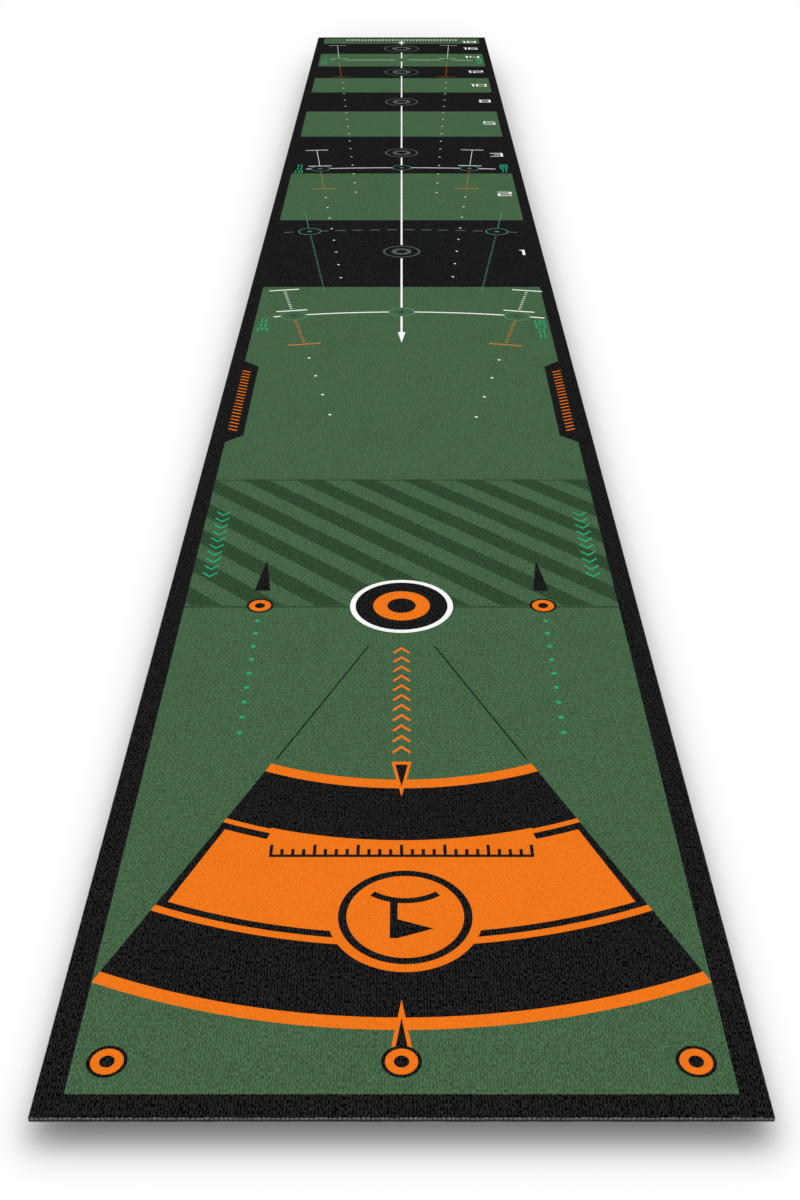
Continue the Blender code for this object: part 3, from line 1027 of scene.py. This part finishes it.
# One tuft's foot where the blade cut past it: across, height above the rubber, in millimetres.
ROOT_OUTLINE = (
    (-1.5, 1.7), (-1.56, 1.1), (-1.3, 0.6), (-0.8, 0.05), (0.0, -0.3),
    (0.8, 0.05), (1.3, 0.6), (1.56, 1.1), (1.5, 1.7), (0.0, 1.78),
)


def root_row(start, direction, outward, count):
    """Vertices and faces of the row of cut tuft feet along one edge of the mat."""
    vertices, faces = [], []
    size = len(ROOT_OUTLINE)
    direction, outward = np.array(direction), np.array(outward)
    for index in range(count):
        step = index + 0.5 + RANDOM.uniform(-0.06, 0.06)
        middle = np.array(start) + direction * step * TUFT_PITCH
        width, height = RANDOM.uniform(0.9, 1.0), RANDOM.uniform(0.9, 1.05)
        proud = RANDOM.uniform(0.1, 0.25) * MM
        first = len(vertices)
        frayed = ROOT_OUTLINE + RANDOM.uniform(-0.12, 0.12, (size, 2))
        for reach, shrink in ((-0.5 * MM, 1.0), (proud, 0.94)):
            for across, up in frayed:
                place = middle + direction * across * width * shrink * MM + outward * reach
                level = RUBBER_TOP + ((up - 1.0) * height * shrink + 1.0) * MM
                vertices.append((float(place[0]), float(place[1]), level))
        place = middle + outward * (proud + 0.2 * MM)
        vertices.append((float(place[0]), float(place[1]), RUBBER_TOP + 1.0 * MM))
        tip = first + 2 * size
        for corner in range(size):
            here, there = first + corner, first + (corner + 1) % size
            faces.append((here, there, there + size, here + size))
            faces.append((here + size, there + size, tip))
        faces.append(tuple(range(first + size - 1, first - 1, -1)))
    return vertices, faces


def build_pile(materials):
    surface = Surface(whole_drawing())
    made = []
    for name in surface.names:
        dye, *nodes = PILE_PIECES[name]
        replaced = ["pile_" + node for node in nodes]
        vertices, faces, smooth, normals = surface.mesh(name)
        finish = (materials[dye], DYES[dye][-1])
        made.append(
            make_object("tufts_" + name, vertices, faces, smooth, *finish, replaced, normals)
        )
    return made


def build_roots(material):
    across, along = round(2 * HALF_WIDTH / TUFT_PITCH), round(LENGTH / TUFT_PITCH)
    x, y = HALF_WIDTH, NEAR_Y
    rows = (
        ("near", (-across * TUFT_PITCH / 2, y), (1.0, 0.0), (0.0, -1.0), across),
        ("right", (x, -along * TUFT_PITCH / 2), (0.0, 1.0), (1.0, 0.0), along),
        ("far", (across * TUFT_PITCH / 2, -y), (-1.0, 0.0), (0.0, 1.0), across),
        ("left", (-x, along * TUFT_PITCH / 2), (0.0, -1.0), (-1.0, 0.0), along),
    )
    made = []
    for side, start, direction, outward, count in rows:
        vertices, faces = root_row(start, direction, outward, count)
        made.append(make_object(
            "tuft_roots_" + side, vertices, faces, [True] * len(faces), material, "tufting_cloth"
        ))
    return made


# ---- floor, light and camera

FLOOR_SIZE = 60.0
# The shade painted on the floor is the mat's outline as the camera sees it, slid towards the
# viewer and blurred. A place's reach is its distance along from a point this far short of the near
# edge, and everything looks smaller in proportion to it.
SHADE_ORIGIN = 1.14345
LEAST_REACH = 0.05
# At a reach of 1 m: how far below the horizon the floor looks, and how wide 1 m looks against that.
HORIZON_DROP = 1.5953
ACROSS_SCALE = 1.0758
# How soft the shade's edge is and how far it has slid, both on the scale of HORIZON_DROP.
SHADE_SOFTNESS = 0.0177
SHADE_SLIDE = 0.022
# The angle from upright at which the mat's long sides look.
SIDE_LEAN = math.atan(HALF_WIDTH * ACROSS_SCALE)
# In units of the softness: down from the horizon and square to a side, both at a reach of 1 m, then
# the slide, and how far it carries each side of the shade inwards.
SHADE_SPAN = HORIZON_DROP / SHADE_SOFTNESS
SHADE_ACROSS = ACROSS_SCALE * math.cos(SIDE_LEAN) * SHADE_SPAN
SHADE_DROP = SHADE_SLIDE / SHADE_SOFTNESS
SHADE_INSET = math.sin(SIDE_LEAN) * SHADE_DROP
# The shade's full depth, the least that shows, and the power of it by which the light falls.
SHADE_DEPTH = 0.6
SHADE_LEAST = 0.006
SHADE_POWER = 2.25
# A logistic curve of this slope is close to the edge of a blurred shape.
LOGISTIC_SLOPE = 1.702
# The lamp's turns about X and Y and its spread are in degrees.
LAMP_STRENGTH = 1.35
LAMP_TURNS = (-38, -22)
LAMP_SPREAD = 35
# The photograph's viewpoint, back from the near edge and up, its degrees from straight down, and the
# lens in millimetres on a 36 mm picture.
CAMERA_BACK = 0.6694
CAMERA_HEIGHT = 0.8036
CAMERA_TILT = 59.34
LENS_LENGTH = 44.11
LENS_SHIFT = -0.0013


def build_floor():
    """A plain pale floor that glows bright all over, with a soft shadow painted round the mat."""
    half = FLOOR_SIZE / 2
    corners = [(x, y, 0) for x, y in rectangle((-half, half), (-half, half))]
    mesh = bpy.data.meshes.new("floor")
    mesh.from_pydata(corners, [], [(0, 1, 2, 3)])
    floor = bpy.data.objects.new("floor", mesh)
    bpy.context.scene.collection.objects.link(floor)
    look = Shading("pale_floor_painted_shadow", roughness=1.0, specular=0.0)
    x, y = look.axes()[:2]
    reach = look.math("ADD", y, SHADE_ORIGIN - NEAR_Y)
    reach = look.math("MAXIMUM", reach, LEAST_REACH)
    # How far inside each edge of the shade a place looks, in units of its softness.
    inwards = look.math("SUBTRACT", HALF_WIDTH, look.math("ABSOLUTE", x))
    side = look.product(inwards, look.math("DIVIDE", SHADE_ACROSS, reach))
    side = look.math("SUBTRACT", side, SHADE_INSET)
    level = look.math("DIVIDE", SHADE_SPAN, reach)
    near_level = SHADE_SPAN / SHADE_ORIGIN + SHADE_DROP
    near = look.math("SUBTRACT", near_level, level)
    far_level = SHADE_SPAN / (SHADE_ORIGIN + LENGTH) + SHADE_DROP
    far = look.math("SUBTRACT", level, far_level)
    dark = SHADE_DEPTH
    for distance in (side, near, far):
        grown = look.math("EXPONENT", look.product(distance, -LOGISTIC_SLOPE))
        dark = look.product(dark, look.math("DIVIDE", 1.0, look.math("ADD", grown, 1.0)))
    dark = look.math("MAXIMUM", look.math("SUBTRACT", dark, SHADE_LEAST), 0.0)
    light = look.math("POWER", look.math("SUBTRACT", 1.0, dark), SHADE_POWER)
    # The floor takes no light: it glows through its emission, and the painted shadow is a dimmer glow.
    look.shader.inputs["Base Color"].default_value = (0.0, 0.0, 0.0, 1.0)
    glow = look.node("ShaderNodeCombineColor", dict.fromkeys(range(3), light))
    look.put(look.shader.inputs["Emission Color"], glow.outputs[0])
    look.shader.inputs["Emission Strength"].default_value = 1.0
    mesh.materials.append(look.material)


def build_light():
    """Plain white light from all round, and a broad soft lamp high over the far end's left."""
    world = bpy.data.worlds.new("studio")
    world.use_nodes = True
    background = world.node_tree.nodes["Background"]
    background.inputs["Color"].default_value = (1.0, 1.0, 1.0, 1.0)
    background.inputs["Strength"].default_value = 1.0
    bpy.context.scene.world = world
    lamp = bpy.data.lights.new("soft_lamp", "SUN")
    lamp.energy = LAMP_STRENGTH
    lamp.angle = math.radians(LAMP_SPREAD)
    made = bpy.data.objects.new("soft_lamp", lamp)
    made.rotation_euler = (*map(math.radians, LAMP_TURNS), 0.0)
    bpy.context.scene.collection.objects.link(made)


def build_camera():
    lens = bpy.data.cameras.new("camera")
    lens.sensor_width = 36.0
    lens.lens = LENS_LENGTH
    lens.shift_x = LENS_SHIFT
    lens.clip_start = 0.01
    made = bpy.data.objects.new("camera", lens)
    made.location = (0.0, NEAR_Y - CAMERA_BACK, CAMERA_HEIGHT)
    made.rotation_euler = (math.radians(CAMERA_TILT), 0.0, 0.0)
    bpy.context.scene.collection.objects.link(made)
    bpy.context.scene.camera = made


# ---- the scene

# Each pile piece's dye, and the CAD nodes that it replaces, less the "pile_" that all start with.
PILE_PIECES = {
    "turf_near": ("green", "turf_front", "turf_near"),
    "turf_striped": ("green", "turf_striped"),
    "turf_middle": ("green", "turf_middle"),
    "turf_stripes": ("dark_green",),
    "fan_bands": ("black", "fan_outer_band", "fan_inner_band"),
    "fan_arcs": ("orange", "fan_outer_arc", "fan_inner_arc"),
    "fan_panel": ("orange", "fan_panel", "badge_rim", "badge_face"),
    "fan_lines": ("black", "badge_line"),
    "target_rim": ("white", "target_rim"),
    "target_black": ("black", "target_disc", "target_centre"),
    "target_ring": ("orange", "target_ring"),
    "marks_orange": ("orange",),
    "marks_black": ("black",),
    "marks_teal": ("teal",),
    "beams_teal": ("dull_teal",),
    "beams_orange": ("dull_orange",),
    "marks_white": ("white",),
    "marks_green": ("grey_green",),
    "marks_grey_green": ("muted_green",),
    "numbers_white": ("white",),
    "ticks_orange": ("orange",),
    "pointers": ("black", "pointer_left", "pointer_right"),
    "spots_black": ("black", *spot_nodes("_edge", "_centre")),
    "spots_orange": ("orange", *spot_nodes("_ring")),
}
for side in ("near", "far", "left", "right"):
    PILE_PIECES["border_" + side] = ("black", "border_" + side)
for number in range(1, len(BANDS) + 1):
    band = "scale_band_%02d" % number
    PILE_PIECES[band] = ("black" if number % 2 else "green", band)


def main():
    materials = {
        name: pile_material("pile_" + name, *settings[:-1]) for name, settings in DYES.items()
    }
    pile = build_pile(materials)
    roots = build_roots(root_material())

    vertices, faces = slab(0.0, RUBBER_TOP, wander=0.35 * MM, relief=0.15 * MM)
    rubber = make_object(
        "rubber_backing_foam", vertices, faces, [False] * len(faces), rubber_material(),
        "rubber", ("rubber_backing",),
    )
    vertices, faces = slab(CLOTH_LOW, CLOTH_TOP, wander=0.25 * MM, relief=0.0)
    cloth = make_object(
        "tufting_cloth_woven", vertices, faces, [False] * len(faces), cloth_material(),
        "tufting_cloth", ("tufting_cloth",),
    )
    build_floor()
    build_light()
    build_camera()
    bpy.context.scene.view_settings.view_transform = "Standard"


main()
